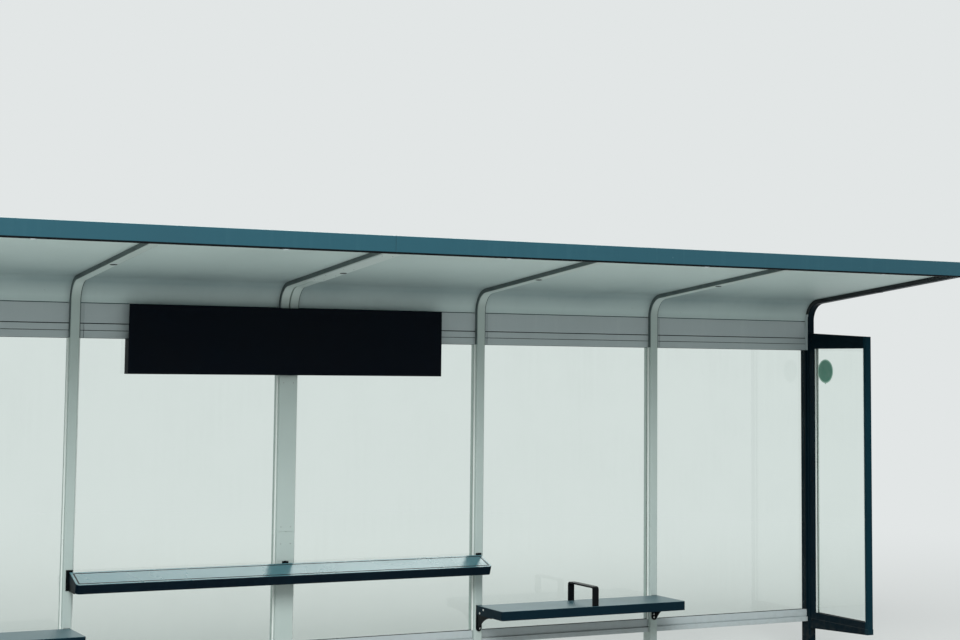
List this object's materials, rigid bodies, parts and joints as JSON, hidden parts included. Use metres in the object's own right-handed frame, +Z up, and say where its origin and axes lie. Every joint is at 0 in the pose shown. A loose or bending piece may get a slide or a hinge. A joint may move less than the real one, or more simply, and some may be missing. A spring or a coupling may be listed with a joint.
{
  "type": "bus shelter",
  "caption": "Stop shelter with bent frames, cantilevered roof, glazed back wall, end wings, name board, lean rail and benches.",
  "frame": {"origin": "underside of the centre frame's base plate, in the middle of the plate", "axes": "+X along the shelter, to the right seen from the waiting side; +Y to the back, through the glazed wall; +Z up"},
  "size_m": [7.38, 1.55, 2.4529],
  "materials": {
    "pale_paint": "satin pale grey-green powder coat on aluminium",
    "ceiling_paint": "matt pale grey coated sheet",
    "teal_paint": "satin teal powder coat on pressed sheet",
    "dark_teal_paint": "satin dark teal powder coat on steel",
    "black_paint": "satin black powder coat on steel",
    "board_enamel": "smooth near-black enamelled plate, left bare",
    "safety_glass": "clear toughened glass",
    "gasket_rubber": "extruded black glazing rubber"
  },
  "bodies": {
    "root": {"frame_left_end": "dark_teal_paint", "frame_left_outer": "pale_paint", "frame_left_inner": "pale_paint", "frame_centre": "pale_paint", "frame_right_inner": "pale_paint", "frame_right_outer": "pale_paint", "frame_right_end": "dark_teal_paint", "centre_covers": "pale_paint", "panel_seals": "gasket_rubber", "glass_bay_1": "safety_glass", "glass_bay_2": "safety_glass", "glass_bay_3": "safety_glass", "glass_bay_4": "safety_glass", "glass_bay_5": "safety_glass", "glass_bay_6": "safety_glass", "glazing_gaskets": "gasket_rubber", "glazing_beads": "pale_paint", "header_rails": "pale_paint", "bottom_rails": "pale_paint", "ceiling_bay_1": "ceiling_paint", "ceiling_bay_2": "ceiling_paint", "ceiling_bay_3": "ceiling_paint", "ceiling_bay_4": "ceiling_paint", "ceiling_bay_5": "ceiling_paint", "ceiling_bay_6": "ceiling_paint", "roof_skin_left": "teal_paint", "roof_skin_right": "teal_paint", "fascia_left": "teal_paint", "fascia_right": "teal_paint", "name_board": "board_enamel", "lean_rail": "dark_teal_paint", "lean_rail_brackets": "black_paint", "bench_left_seat": "dark_teal_paint", "bench_left_brackets": "black_paint", "bench_left_armrest": "black_paint", "bench_right_seat": "dark_teal_paint", "bench_right_brackets": "black_paint", "bench_right_armrest": "black_paint", "wing_left_frame": "dark_teal_paint", "wing_left_glass": "safety_glass", "wing_right_frame": "dark_teal_paint", "wing_right_glass": "safety_glass"}
  },
  "joints": []
}
